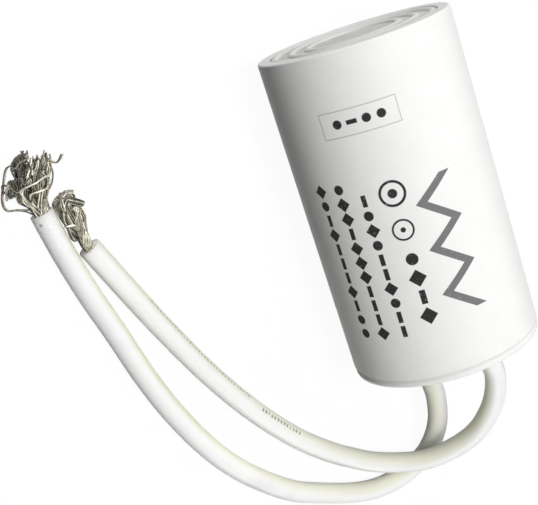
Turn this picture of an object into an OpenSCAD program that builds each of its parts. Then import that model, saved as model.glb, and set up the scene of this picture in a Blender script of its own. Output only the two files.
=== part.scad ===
// Motor run capacitor: metallised film winding potted in a round plastic can, with two
// flying leads. Millimetres. The can lies on its side along Y, closed end towards +Y,
// and the origin is on the surface it lies on, under the middle of the can.

/* [Can] */
// Outside diameter of the can
can_d = 30; // [28:0.5:40]
// Overall length of the can with its cover
can_l = 52; // [46:0.5:80]
// Thickness of the can's side wall
wall = 1.3; // [0.8:0.1:1.8]
// Thickness of the can's end wall, under the recess
end_wall = 1.6; // [1.2:0.1:2.5]
// Radius of the edge round the closed end
end_edge_r = 0.4; // [0.2:0.1:0.8]

/* [Closed end] */
// Width of the flat land round the recess
land_w = 1.9; // [1.2:0.1:3]
// Depth of the recess, and height of the ribs in it
recess_depth = 0.4; // [0.2:0.1:0.8]
// Number of concentric ribs
rib_count = 3; // [1:1:4]
// Distance from one rib to the next
rib_pitch = 2.65; // [2:0.05:3]
// Width of a rib at its foot
rib_w = 1.3; // [0.8:0.1:1.6]
// Distance from the recess wall to the middle of the outer rib
rib_inset = 0.75; // [0.7:0.05:1.5]

/* [End cover] */
// Thickness of the cover's flange
flange_t = 1.4; // [1:0.1:2.5]
// How far the flange stands in from the can's side
flange_inset = 0.1; // [0:0.05:0.4]
// Radius of the flange's outer edge
flange_edge_r = 0.5; // [0.2:0.1:0.8]
// Length of the spigot inside the can
spigot_l = 2.6; // [1.5:0.1:4]
// Wall of the spigot ring
spigot_t = 1.2; // [0.8:0.1:2]
// Gap between the spigot and the can's bore
spigot_gap = 0.05; // [0.02:0.01:0.2]
// Distance between the two lead holes
lead_spacing = 16; // [12:0.5:17]
// Gap between a lead and its hole
hole_gap = 0.1; // [0.05:0.05:0.3]

/* [Leads] */
// Outside diameter of a lead's insulation
lead_d = 3.4; // [2.6:0.1:3.4]
// Diameter of a lead's stranded conductor
conductor_d = 1.6; // [1:0.1:1.8]
// How far the insulation reaches inside, past the cover's outer face
inner_sleeve_l = 6; // [4.5:0.5:6.5]
// Sides of a free lead's tube
lead_sides = 8; // [8:1:10]

/* [Winding] */
// Diameter of the film winding with its wrap
winding_d = 23.2; // [18:0.2:23.6]
// Thickness of the outer wrap
wrap_t = 0.3; // [0.2:0.1:0.8]
// Outside diameter of the winding core
core_d = 6.2; // [5:0.1:8]
// Wall of the winding core
core_t = 1.1; // [0.6:0.1:1.3]
// Thickness of a sprayed contact layer
spray_t = 0.6; // [0.3:0.1:1]
// Resin between the end wall and the rear contact layer
rear_gap = 2.8; // [2.4:0.1:4]
// Resin between the cover's flange and the front contact layer
front_gap = 9.5; // [9:0.5:12]
// Diameter of a solder joint
joint_d = 5; // [4:0.1:6]
// Height of a solder joint
joint_h = 2.2; // [1.9:0.1:2.3]
// Distance of the rear solder joint from the can's axis
rear_joint_offset = 7.5; // [6:0.1:8]

/* [Strands] */
// Diameter of one bare strand, several wires lying together
strand_d = 0.38; // [0.3:0.02:0.5]
// Length of the bare strands past the insulation
strand_l = 9; // [7:0.5:10]
// Sides of a strand
strand_sides = 5; // [4:1:6]

/* [Hidden] */
$fn = 96;

// Distances along the can's axis, from the outer face of the cover
mouth_at = flange_t;
spigot_end_at = flange_t + spigot_l;
end_wall_at = can_l - recess_depth - end_wall;
front_contact_at = flange_t + front_gap;
rear_contact_at = end_wall_at - rear_gap;

// Radii
can_r = can_d / 2;
bore_r = can_r - wall;
spigot_r = bore_r - spigot_gap;
lead_r = lead_d / 2;
conductor_r = conductor_d / 2;
winding_r = winding_d / 2;
film_r = winding_r - wrap_t;
core_r = core_d / 2;
core_bore_r = core_r - core_t;
joint_ball_r = (pow(joint_d / 2, 2) + pow(joint_h, 2)) / (2 * joint_h);

// Ribs of the closed end: arcs whose tops are level with the land
rib_arc_r = (pow(rib_w / 2, 2) + pow(recess_depth, 2)) / (2 * recess_depth);
rib_outer_r = can_r - land_w - rib_inset;

// The upper lead's conductor turns in quarter bends of this centreline radius
bend_r = conductor_d;
// Resin between the conductor's cross runs and what they pass over
run_gap = 0.1;
core_lead_in = 0.4;
front_run_at = front_contact_at - core_lead_in - bend_r;
rear_run_at = rear_contact_at + run_gap + conductor_r;
// How far the conductor's end reaches past the middle of the rear joint
run_over = 1;

// Lead positions across the can's axis: a is the lower lead, b the upper one
lead_a_at = lead_spacing / 2;
lead_b_at = -lead_spacing / 2;

// Routes of the free leads: across the can, along it from the cover's outer face, and the
// height of the lead's underside. The lower lead leaves the can, sinks to the surface and
// swings round beside the can; the upper one drops over it in a long bend and follows it.
LEAD_A_ROUTE = [
    [1.4, -4, 4.7], [2.3, -8, 4.3], [2.5, -12, 4.3], [1.3, -16.5, 3.9], [-1.5, -20, 2.9],
    [-5.5, -22, 1.4], [-9.5, -22.3, 0.5], [-13.5, -21.5, 0.1], [-18, -19.5, 0], [-23.5, -16.3, 0],
    [-28, -13.3, 0], [-32.5, -9, 0], [-37, -3.5, 0], [-40.5, 2.5, 0], [-43.5, 9.5, 0],
    [-45.7, 16.5, 0], [-47.5, 24, 0], [-49.3, 31, 0], [-50.7, 38, 0], [-51.6, 44.2, 0]
];
LEAD_B_ROUTE = [
    [1.3, -3, 20.7], [2.4, -6, 19.7], [2.8, -9.5, 18.1], [2.4, -12.5, 16.4], [1.2, -15.7, 13.9],
    [-0.5, -17.7, 11.3], [-3, -19, 8.3], [-5.6, -19.3, 5.8], [-8.6, -18.5, 3.3], [-12, -16.8, 1.3],
    [-15, -14.6, 0.3], [-19, -11.2, 0], [-24, -6, 0], [-29, 0.6, 0], [-33, 7, 0],
    [-36.5, 13.5, 0], [-40, 21, 0], [-43, 28, 0], [-46.7, 37, 0]
];

// Guides of the bare strands' tufts, from the end of the lead: along its last heading, to
// its left, and up. Each tuft has its number of strands, its spread at the tip against that
// inside the lead, and its twist over the guide in degrees.
GUIDE_L = 9;  // the strands' length at which the guides are drawn
LEAD_A_TUFTS = [
    // The brush, straight on and rising
    [7, 2.8, 60, [[0, 0, 0], [1.5, -0.7, 0.5], [4, -1.5, 1.2], [7.8, -2.5, 2]]],
    // Its right side
    [4, 2.4, -60, [[0, 0, 0], [1.5, -1.1, 0.5], [4.2, -2.7, 1.6], [6.8, -3.8, 2.4]]],
    // One strand that hooks out on the right
    [1, 1, 0, [[0, 0, 0], [1.8, -1.3, 0.6], [4.4, -3, 1.2], [5.9, -3.9, 1.6], [5.6, -4.7, 1.9],
               [6.4, -5.8, 2.3], [7.4, -6.2, 2.6]]],
    // The low clump on the left
    [5, 2.6, 90, [[0, 0, 0], [1.8, 0.3, 0.2], [5, 0.4, 0.3], [7.4, -0.4, 0.5], [8.5, -1.7, 0.9]]],
    // Strands folded back to the left
    [3, 2, 40, [[0, 0, 0], [2, 0.3, 0.6], [4.5, 0.7, 0.9], [5.2, 1.8, 0.3], [3.6, 3, -0.2]]],
    // Two strands that stray far out on the left
    [2, 1, 0, [[0, 0, 0], [0.9, 1.3, -0.7], [1.9, 2.8, -0.9], [2.8, 3.7, -0.9], [4.5, 3.1, -0.9],
               [6.5, 1.5, -0.8], [7.2, 0.2, -0.5]]],
    // Two strands that cross over the brush
    [2, 1.6, 60, [[0, 0, 0], [1.6, 0.7, 0.5], [3.6, 1.7, 0.9], [4.3, 0.9, 1.5], [4.4, -0.8, 2.2],
                  [4.4, -3.2, 2.5]]]
];
LEAD_B_TUFTS = [
    // Strands that run out, twisted
    [7, 2, 120, [[0, 0, 0], [1.4, 0, -0.1], [3.3, -0.1, -0.1], [5.4, -0.7, 0], [7, -1.6, 0.1],
                   [8.1, -2.7, 0.3]]],
    // Strands that are folded back over them
    [6, 1.7, 80, [[0, 0, 0], [1.5, -0.7, 0.1], [3.6, -1.2, 0.4], [5.8, -1.5, 0.5], [7.5, -2.2, 0.5],
                   [7.5, -3.4, 0.7], [6, -3.5, 0.9], [4.4, -2.7, 0.9], [2.6, -1.6, 0.5]]]
];

// A route in the part's frame, with its exit from the cover as the first point
function placed_route(exit_height, route) = concat(
    [[0, -can_l / 2, exit_height]],
    [for (p = route) [p.x, p.y - can_l / 2, p.z + lead_r]]
);
lead_a_path = placed_route(can_r - lead_a_at, LEAD_A_ROUTE);
lead_b_path = placed_route(can_r - lead_b_at, LEAD_B_ROUTE);

// ---- Sweeping ----

function unit(v) = v / norm(v);
function last(list) = list[len(list) - 1];
function heading(path, i) = unit(path[min(i + 1, len(path) - 1)] - path[max(i - 1, 0)]);
function side_of(along) = unit(cross([0, 0, 1], along));

// One ring of points round a path, with a point at its very bottom
function ring(centre, along, r, sides) =
    let (side = side_of(along), up = cross(along, side))
    [for (k = [0 : sides - 1]) let (a = 360 * k / sides - 90) centre + r * (cos(a) * side + sin(a) * up)];

function band(i, sides) = [
    for (k = [0 : sides - 1])
        let (a = i * sides + k, b = i * sides + (k + 1) % sides)
        for (face = [[a, a + sides, b + sides], [a, b + sides, b]]) face
];

// A closed tube along a path; start is the heading of its first face
module tube(path, r, sides, start) {
    n = len(path);
    points = [
        for (i = [0 : n - 1])
            let (along = i == 0 && !is_undef(start) ? start : heading(path, i))
            for (p = ring(path[i], along, r, sides)) p
    ];
    faces = concat(
        [[for (k = [0 : sides - 1]) k]],
        [for (i = [0 : n - 2]) for (face = band(i, sides)) face],
        [[for (k = [sides - 1 : -1 : 0]) (n - 1) * sides + k]]
    );
    polyhedron(points, faces, convexity = 6);
}

// ---- Placing on the can's axis ----

// Z runs along the can from the cover's outer face, and Y points down
module on_axis() translate([0, -can_l / 2, can_r]) rotate([-90, 0, 0]) children();

module disc(r, from, to) translate([0, 0, from]) cylinder(r = r, h = to - from);

module sleeve(outer_r, inner_r, from, to) difference() {
    disc(outer_r, from, to);
    disc(inner_r, from - 1, to + 1);
}

// ---- Can ----

// Solid outline of the can from its mouth, with a rounded edge at the closed end
module can_outline() {
    translate([0, mouth_at]) square([can_r, can_l - end_edge_r - mouth_at]);
    translate([0, mouth_at]) square([can_r - end_edge_r, can_l - mouth_at]);
    translate([can_r - end_edge_r, can_l - end_edge_r]) circle(end_edge_r);
}

module rib_outline(r) intersection() {
    translate([r, can_l - rib_arc_r]) circle(rib_arc_r);
    translate([r - rib_w / 2, can_l - recess_depth - end_wall / 2])
        square([rib_w, recess_depth + end_wall / 2]);
}

module case() color("whitesmoke") on_axis() rotate_extrude() {
    difference() {
        can_outline();
        translate([0, mouth_at - 1]) square([bore_r, end_wall_at - mouth_at + 1]);
        translate([0, can_l - recess_depth]) square([can_r - land_w, recess_depth + 1]);
    }
    for (i = [0 : rib_count - 1]) rib_outline(rib_outer_r - i * rib_pitch);
}

// ---- End cover ----

module cover_outline() {
    r = can_r - flange_inset;
    translate([0, flange_edge_r]) square([r, flange_t - flange_edge_r]);
    square([r - flange_edge_r, flange_t]);
    translate([r - flange_edge_r, flange_edge_r]) intersection() {
        circle(flange_edge_r);
        translate([0, -flange_edge_r]) square(2 * flange_edge_r);
    }
    translate([spigot_r - spigot_t, 0]) square([spigot_t, spigot_end_at]);
}

module lead_holes() for (y = [lead_a_at, lead_b_at])
    translate([0, y, 0]) disc(lead_r + hole_gap, -1, spigot_end_at + 1);

module end_cover() color("white") on_axis() difference() {
    rotate_extrude() cover_outline();
    lead_holes();
}

// ---- Winding ----

module film_winding() color("silver") on_axis()
    sleeve(film_r, core_r, front_contact_at + spray_t, rear_contact_at - spray_t);

module winding_core() color("ivory") on_axis()
    sleeve(core_r, core_bore_r, front_contact_at, rear_contact_at);

module winding_wrap() color("lightyellow") on_axis()
    sleeve(winding_r, film_r, front_contact_at, rear_contact_at);

module front_end_spray() color("gray") on_axis()
    sleeve(film_r, core_r, front_contact_at, front_contact_at + spray_t);

module rear_end_spray() color("gray") on_axis()
    sleeve(film_r, core_r, rear_contact_at - spray_t, rear_contact_at);

// ---- Inside runs of the leads ----

module lead_a_conductor_form() translate([0, lead_a_at, 0]) disc(conductor_r, 0, front_contact_at);

// A quarter bend of the conductor in the YZ plane, from +Z round to +Y
module quarter_bend() rotate([0, -90, 0]) rotate_extrude(angle = 90)
    translate([bend_r, 0]) circle(conductor_r);

module lead_b_conductor_form() {
    // Straight in through the cover, then across to the core
    translate([0, lead_b_at, 0]) disc(conductor_r, 0, front_run_at - bend_r);
    translate([0, lead_b_at + bend_r, front_run_at - bend_r]) rotate([0, 0, 180]) quarter_bend();
    translate([0, lead_b_at + bend_r, front_run_at]) rotate([-90, 0, 0])
        cylinder(r = conductor_r, h = -lead_b_at - 2 * bend_r);
    translate([0, -bend_r, front_run_at + bend_r]) rotate([180, 0, 0]) rotate([0, 0, 180]) quarter_bend();
    // Through the core, and out to the rear joint
    disc(conductor_r, front_run_at + bend_r, rear_run_at - bend_r);
    translate([0, -bend_r, rear_run_at - bend_r]) quarter_bend();
    translate([0, -bend_r, rear_run_at]) rotate([90, 0, 0])
        cylinder(r = conductor_r, h = rear_joint_offset + run_over - bend_r);
}

module lead_a_conductor() color("peru") on_axis() lead_a_conductor_form();

module lead_b_conductor() color("peru") on_axis() lead_b_conductor_form();

module inner_sleeve(y) translate([0, y, 0]) sleeve(lead_r, conductor_r, 0, inner_sleeve_l);

module lead_a_inner_sleeve() color("ivory") on_axis() inner_sleeve(lead_a_at);

module lead_b_inner_sleeve() color("ivory") on_axis() inner_sleeve(lead_b_at);

// A dome of solder standing on the plane Z = 0
module solder_dome() intersection() {
    translate([0, 0, joint_h - joint_ball_r]) sphere(joint_ball_r);
    cylinder(r = joint_d, h = 2 * joint_h);
}

module front_joint_form() translate([0, lead_a_at, front_contact_at]) mirror([0, 0, 1]) solder_dome();

module rear_joint_form() translate([0, -rear_joint_offset, rear_contact_at]) solder_dome();

module front_solder_joint() color("lightgray") on_axis() difference() {
    front_joint_form();
    lead_a_conductor_form();
}

module rear_solder_joint() color("lightgray") on_axis() difference() {
    rear_joint_form();
    lead_b_conductor_form();
}

// ---- Potting resin ----

module potting_resin() color("burlywood") on_axis() difference() {
    union() {
        disc(bore_r, spigot_end_at, end_wall_at);
        disc(spigot_r - spigot_t, mouth_at, spigot_end_at + 1);
    }
    disc(winding_r, front_contact_at, rear_contact_at);
    for (y = [lead_a_at, lead_b_at]) translate([0, y, 0]) disc(lead_r, 0, inner_sleeve_l);
    lead_a_conductor_form();
    lead_b_conductor_form();
    front_joint_form();
    rear_joint_form();
}

// ---- Free leads ----

module lead_a() color("ivory") tube(lead_a_path, lead_r, lead_sides, [0, -1, 0]);

module lead_b() color("ivory") tube(lead_b_path, lead_r, lead_sides, [0, -1, 0]);

// ---- Bare strands ----

// Turn and distance from one strand to the next in a sunflower pattern, in which
// neighbours lie side by side, a little apart
GOLDEN_TURN = 137.5;
PACKING = 0.62;
// Share of its guide over which a strand goes from its place in the lead to that in its tuft
SETTLES = 1 / 3;
// Rings to a stretch between two points of a guide
STRETCH_RINGS = 2;
// Share of a tuft's length by which its shortest strand may fall short
SHORTFALL = 0.15;
MOST_STRANDS = 40;
SHORT_BY = rands(0, SHORTFALL, MOST_STRANDS, 5);

function sunflower(i) = PACKING * strand_d * sqrt(i + 0.5) * [cos(GOLDEN_TURN * i), sin(GOLDEN_TURN * i)];

function turned(v, angle) = [v.x * cos(angle) - v.y * sin(angle), v.x * sin(angle) + v.y * cos(angle)];

// Smooth curve through the points p, at t from 0 to 1
function curve(p, t) =
    let (
        n = len(p) - 1,
        s = min(floor(t * n), n - 1),
        u = t * n - s,
        a = p[max(s - 1, 0)],
        b = p[s],
        c = p[s + 1],
        d = p[min(s + 2, n)]
    )
    b + (c - a) * u / 2 + (2 * a - 5 * b + 4 * c - d) * u * u / 2 + (3 * b - a - 3 * c + d) * u * u * u / 2;

// Place of the lead's strand i, strand j of its tuft, beside its guide at t
function beside(i, j, spread, twist, t) =
    let (settled = min(t / SETTLES, 1))
    (1 - settled) * sunflower(i) + settled * turned(spread * sunflower(j), twist * t);

// A point given along a lead's last heading, to its left and up
function from_end(path, p) =
    let (h = heading(path, len(path) - 1))
    last(path) + p.x * h + p.y * side_of(h) + p.z * [0, 0, 1];

function strand_path(path, guide, spread, twist, i, j) = [
    let (rings = STRETCH_RINGS * (len(guide) - 1) + 2)
    for (k = [0 : rings])
        let (
            t = (1 - SHORT_BY[i]) * k / rings,
            middle = curve(guide, t) * strand_l / GUIDE_L,
            off = beside(i, j, spread, twist, t)
        )
        from_end(path, middle + [0, off.x, off.y])
];

// Number of strands in the tufts before tuft k
function strands_before(tufts, k) = k == 0 ? 0 : tufts[k - 1][0] + strands_before(tufts, k - 1);

module strands(path, tufts) for (k = [0 : len(tufts) - 1]) {
    tuft = tufts[k];
    for (j = [0 : tuft[0] - 1])
        tube(strand_path(path, tuft[3], tuft[1], tuft[2], strands_before(tufts, k) + j, j),
             strand_d / 2, strand_sides, heading(path, len(path) - 1));
}

module lead_a_strands() color("darkkhaki") strands(lead_a_path, LEAD_A_TUFTS);

module lead_b_strands() color("darkkhaki") strands(lead_b_path, LEAD_B_TUFTS);

case();
end_cover();
potting_resin();
film_winding();
winding_core();
winding_wrap();
front_end_spray();
rear_end_spray();
front_solder_joint();
rear_solder_joint();
lead_a_conductor();
lead_b_conductor();
lead_a_inner_sleeve();
lead_b_inner_sleeve();
lead_a();
lead_b();
lead_a_strands();
lead_b_strands();
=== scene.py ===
"""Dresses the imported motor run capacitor: moulded can, end cover, flying leads and bare strands."""

from __future__ import annotations

import logging
import math
import random
from dataclasses import dataclass
from enum import Enum
from typing import Iterable, Optional, Sequence, Union

import bmesh
import bpy
from mathutils import Euler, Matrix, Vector


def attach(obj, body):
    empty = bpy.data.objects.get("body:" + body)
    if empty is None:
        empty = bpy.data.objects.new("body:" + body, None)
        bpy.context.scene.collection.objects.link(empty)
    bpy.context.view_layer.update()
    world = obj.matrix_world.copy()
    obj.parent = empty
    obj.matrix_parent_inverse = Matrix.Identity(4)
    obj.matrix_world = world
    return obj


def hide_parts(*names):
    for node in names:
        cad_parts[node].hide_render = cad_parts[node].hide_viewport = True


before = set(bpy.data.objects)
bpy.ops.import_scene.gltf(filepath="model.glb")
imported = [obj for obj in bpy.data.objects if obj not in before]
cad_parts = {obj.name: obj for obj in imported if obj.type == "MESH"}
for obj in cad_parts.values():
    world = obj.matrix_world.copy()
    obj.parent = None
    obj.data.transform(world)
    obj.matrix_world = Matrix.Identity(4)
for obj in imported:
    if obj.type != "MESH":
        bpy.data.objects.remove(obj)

LOG = logging.getLogger("run_capacitor")
ROOT = "root"
MM = 0.001

Colour = tuple[float, float, float]
Point = tuple[float, float, float]
Flat = tuple[float, float]
Number = Union[int, float, "Wire"]


# ---- shader maths


@dataclass
class Wire:
    """A number on a node's output socket; arithmetic on it adds Math nodes."""

    tree: bpy.types.NodeTree
    socket: bpy.types.NodeSocket

    def call(self, operation: str, *values: Number, swap: bool = False) -> "Wire":
        """Adds one Math node.

        Args:
            operation: Blender's name of the operation.
            values: The other operands, numbers or wires.
            swap: Whether this wire is the second operand.

        Returns:
            The node's result.
        """
        node = self.tree.nodes.new("ShaderNodeMath")
        node.operation = operation
        operands = [*values, self] if swap else [self, *values]
        for slot, value in zip(node.inputs, operands):
            if isinstance(value, Wire):
                self.tree.links.new(value.socket, slot)
            else:
                slot.default_value = value
        return Wire(self.tree, node.outputs[0])

    def __add__(self, other: Number) -> "Wire":
        """Returns the sum."""
        return self.call("ADD", other)

    __radd__ = __add__

    def __mul__(self, other: Number) -> "Wire":
        """Returns the product."""
        return self.call("MULTIPLY", other)

    __rmul__ = __mul__

    def __sub__(self, other: Number) -> "Wire":
        """Returns the difference."""
        return self.call("SUBTRACT", other)

    def __rsub__(self, other: Number) -> "Wire":
        """Returns the reversed difference."""
        return self.call("SUBTRACT", other, swap=True)

    def __truediv__(self, other: Number) -> "Wire":
        """Returns the quotient."""
        return self.call("DIVIDE", other)

    def __abs__(self) -> "Wire":
        """Returns the size without its sign."""
        return self.call("ABSOLUTE")

    def __lt__(self, other: Number) -> "Wire":
        """Returns 1 where this is less, else 0."""
        return self.call("LESS_THAN", other)

    def __gt__(self, other: Number) -> "Wire":
        """Returns 1 where this is more, else 0."""
        return self.call("GREATER_THAN", other)

    def between(self, low: Number, high: Number) -> "Wire":
        """Returns 1 where this lies between low and high, else 0."""
        return (self > low) * (self < high)

    def within(self, half: float, soft: float = 0.00006) -> "Wire":
        """Returns 1 where this is nearer to zero than half, with a soft edge."""
        return 1 - abs(self).ramp(half - soft, half + soft)

    def ramp(self, low: float, high: float) -> "Wire":
        """Returns 0 at low and 1 at high, smooth in between."""
        node = self.tree.nodes.new("ShaderNodeMapRange")
        node.interpolation_type = "SMOOTHSTEP"
        self.tree.links.new(self.socket, node.inputs["Value"])
        node.inputs["From Min"].default_value = low
        node.inputs["From Max"].default_value = high
        return Wire(self.tree, node.outputs["Result"])

    def span(self, low: float, high: float) -> "Wire":
        """Returns low where this is 0 and high where it is 1."""
        return self * (high - low) + low


class Shader:
    """A material's node tree with one Principled shader."""

    def __init__(self, name: str) -> None:
        """Starts an empty material with this name."""
        self.material = bpy.data.materials.new(name)
        self.material.use_nodes = True
        self.tree = self.material.node_tree
        self.tree.nodes.clear()
        self.output = self.tree.nodes.new("ShaderNodeOutputMaterial")
        self.surface = self.tree.nodes.new("ShaderNodeBsdfPrincipled")
        self.tree.links.new(self.surface.outputs["BSDF"], self.output.inputs["Surface"])
        self._place: Optional[bpy.types.Node] = None

    def node(
        self,
        kind: str,
        settings: Optional[dict[str, object]] = None,
        inputs: Optional[dict[object, object]] = None,
    ) -> bpy.types.Node:
        """Adds a node.

        Args:
            kind: The node's type.
            settings: Attributes that are set first.
            inputs: Values or links of its sockets, by name or number.

        Returns:
            The new node.
        """
        made = self.tree.nodes.new(kind)
        for name, value in (settings or {}).items():
            setattr(made, name, value)
        for name, value in (inputs or {}).items():
            self.feed(made.inputs[name], value)
        return made

    def feed(self, socket: bpy.types.NodeSocket, value: object) -> None:
        """Links a wire or socket to a socket, or sets its plain value."""
        if isinstance(value, Wire):
            self.tree.links.new(value.socket, socket)
        elif isinstance(value, bpy.types.NodeSocket):
            self.tree.links.new(value, socket)
        elif socket.type == "RGBA":
            socket.default_value = (*value, 1.0)
        else:
            socket.default_value = value

    def set(self, **values: object) -> None:
        """Feeds the Principled shader's sockets; an underscore stands for a space."""
        for name, value in values.items():
            self.feed(self.surface.inputs[name.replace("_", " ")], value)

    def object_point(self) -> bpy.types.NodeSocket:
        """Returns the point in the piece's own coordinates."""
        if self._place is None:
            self._place = self.node("ShaderNodeTexCoord")
        return self._place.outputs["Object"]

    def axes(self) -> tuple[Wire, Wire, Wire]:
        """Returns the point's three coordinates."""
        split = self.node("ShaderNodeSeparateXYZ", inputs={0: self.object_point()})
        x, y, z = (Wire(self.tree, out) for out in split.outputs)
        return x, y, z

    def vector(self, operation: str, *values: object) -> bpy.types.Node:
        """Adds a vector maths node on vectors."""
        return self.node("ShaderNodeVectorMath", {"operation": operation}, dict(enumerate(values)))

    def offset(self, place: Point) -> bpy.types.NodeSocket:
        """Returns the way from a place to the point on the piece."""
        return self.vector("SUBTRACT", self.object_point(), place).outputs[0]

    def dot(self, value: object, way: object) -> Wire:
        """Returns how far a vector reaches along a way."""
        return Wire(self.tree, self.vector("DOT_PRODUCT", value, way).outputs["Value"])

    def length(self, value: object) -> Wire:
        """Returns a vector's length."""
        return Wire(self.tree, self.vector("LENGTH", value).outputs["Value"])

    def noise(self, grain: float, detail: float = 2.0) -> Wire:
        """Returns smooth noise from 0 to 1.

        Args:
            grain: Features to a metre.
            detail: Octaves of finer noise.

        Returns:
            The noise.
        """
        inputs = {"Vector": self.object_point(), "Scale": grain, "Detail": detail}
        return Wire(self.tree, self.node("ShaderNodeTexNoise", inputs=inputs).outputs[0])

    def mix(self, factor: Number, first: object, second: object) -> bpy.types.NodeSocket:
        """Returns a colour between two, first where the factor is 0."""
        made = self.node("ShaderNodeMix", {"data_type": "RGBA"}, {"Factor": factor, 6: first, 7: second})
        return made.outputs[2]

    def bump(self, height: Wire, distance: float) -> None:
        """Raises the surface's normal by a height from 0 to 1 over a distance in metres."""
        made = self.node("ShaderNodeBump", inputs={"Height": height, "Distance": distance, "Strength": 1.0})
        self.feed(self.surface.inputs["Normal"], made.outputs[0])


# ---- finishes


@dataclass(frozen=True)
class Mottled:
    """A finish of one colour that wanders a little, with fine unevenness.

    The grain is in features to a metre, and the relief, which is finer, in metres.
    """

    name: str
    colour: Colour
    shade: Colour
    grain: float = 900.0
    roughness: float = 0.5
    metallic: float = 0.0
    relief: float = 0.00001
    unevenness: float = 0.08
    patches: Flat = (0.35, 0.65)
    finer: float = 3.0

    def build(self) -> bpy.types.Material:
        """Returns the material."""
        shader = Shader(self.name)
        cloud = shader.noise(self.grain, 3.0)
        shader.set(
            Base_Color=shader.mix(cloud.ramp(*self.patches), self.colour, self.shade),
            Roughness=cloud.span(self.roughness - self.unevenness, self.roughness + self.unevenness),
            Metallic=self.metallic,
        )
        shader.bump(shader.noise(self.grain * self.finer), self.relief)
        return shader.material


@dataclass(frozen=True)
class WoundEdge:
    """The edge of many turns of film: fine rings about the can's axis."""

    name: str
    colour: Colour
    shade: Colour
    axis_height: float
    turns_to_a_metre: float = 9000.0
    metallic: float = 0.6
    relief: float = 0.00002

    def build(self) -> bpy.types.Material:
        """Returns the material."""
        shader = Shader(self.name)
        x, _, z = shader.axes()
        radius = (x * x + (z - self.axis_height) * (z - self.axis_height)).call("SQRT")
        ring = (radius * self.turns_to_a_metre).call("SINE") * 0.5 + 0.5
        shader.set(
            Base_Color=shader.mix(ring, self.colour, self.shade),
            Roughness=ring.span(0.3, 0.5),
            Metallic=self.metallic,
        )
        shader.bump(ring, self.relief)
        return shader.material


@dataclass(frozen=True)
class Print:
    """A printed motif: its ink, and where it is, along the can and around it."""

    ink: Colour
    along: float
    around: float

    def mask(self, shader: Shader, along: Wire, around: Wire) -> Wire:
        """Returns 1 where the ink is, else 0."""
        raise NotImplementedError


@dataclass(frozen=True)
class Zigzag(Print):
    """A broad zigzag line that runs along the can."""

    length: float
    swing: float
    pitch: float
    stroke: float

    def mask(self, shader: Shader, along: Wire, around: Wire) -> Wire:
        """Returns 1 where the ink is, else 0."""
        place = along - self.along
        wave = abs((place / self.pitch).call("FRACT") - 0.5) * (4.0 * self.swing) - self.swing
        steepness = math.hypot(1.0, 4.0 * self.swing / self.pitch)
        line = (around - self.around - wave).within(self.stroke / 2 * steepness)
        return line * (place - self.length / 2).within(self.length / 2)


@dataclass(frozen=True)
class Ring(Print):
    """A ring with a dot in its middle."""

    radius: float
    stroke: float
    dot: float

    def mask(self, shader: Shader, along: Wire, around: Wire) -> Wire:
        """Returns 1 where the ink is, else 0."""
        y, s = along - self.along, around - self.around
        reach = (y * y + s * s).call("SQRT")
        return (reach - self.radius).within(self.stroke / 2).call("MAXIMUM", reach.within(self.dot))


@dataclass(frozen=True)
class Box(Print):
    """The thin outline of a box."""

    half_length: float
    half_width: float
    stroke: float
    soft: float = 0.00004

    def mask(self, shader: Shader, along: Wire, around: Wire) -> Wire:
        """Returns 1 where the ink is, else 0."""
        y = abs(along - self.along) - self.half_length
        s = abs(around - self.around) - self.half_width
        return y.call("MAXIMUM", s).within(self.stroke / 2, self.soft)


@dataclass(frozen=True)
class MarkRow(Print):
    """A row of small marks, each a dot, a diamond or a dash.

    Each kind's half-size is a share of the marks' size. A mark's chance, from 0 to 1, makes it
    a dot below the first bound, a dash above the second, and a diamond in between.
    """

    count: int
    pitch: float
    size: float
    across: bool = False
    dot: float = 0.42
    diamond: float = 0.62
    dash: float = 0.5
    dash_flatness: float = 2.4
    bounds: Flat = (0.3, 0.62)
    row_spread: float = 3000.0

    def mask(self, shader: Shader, along: Wire, around: Wire) -> Wire:
        """Returns 1 where the ink is, else 0."""
        run, side = along - self.along, around - self.around
        if self.across:
            run, side = side, run
        place = run / self.pitch
        cell = place.call("FLOOR")
        noise = shader.node(
            "ShaderNodeTexWhiteNoise",
            {"noise_dimensions": "1D"},
            {"W": cell + self.around * self.row_spread},
        )
        chance = Wire(shader.tree, noise.outputs["Value"])
        local = (place.call("FRACT") - 0.5) * self.pitch
        low, high = self.bounds
        dot = (local * local + side * side).call("SQRT").within(self.size * self.dot)
        diamond = (abs(local) + abs(side)).within(self.size * self.diamond)
        dash = abs(local).call("MAXIMUM", abs(side) * self.dash_flatness).within(self.size * self.dash)
        picked = dot * (chance < low) + diamond * chance.between(low, high) + dash * (chance > high)
        return picked * run.between(0.0, self.count * self.pitch)


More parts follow.
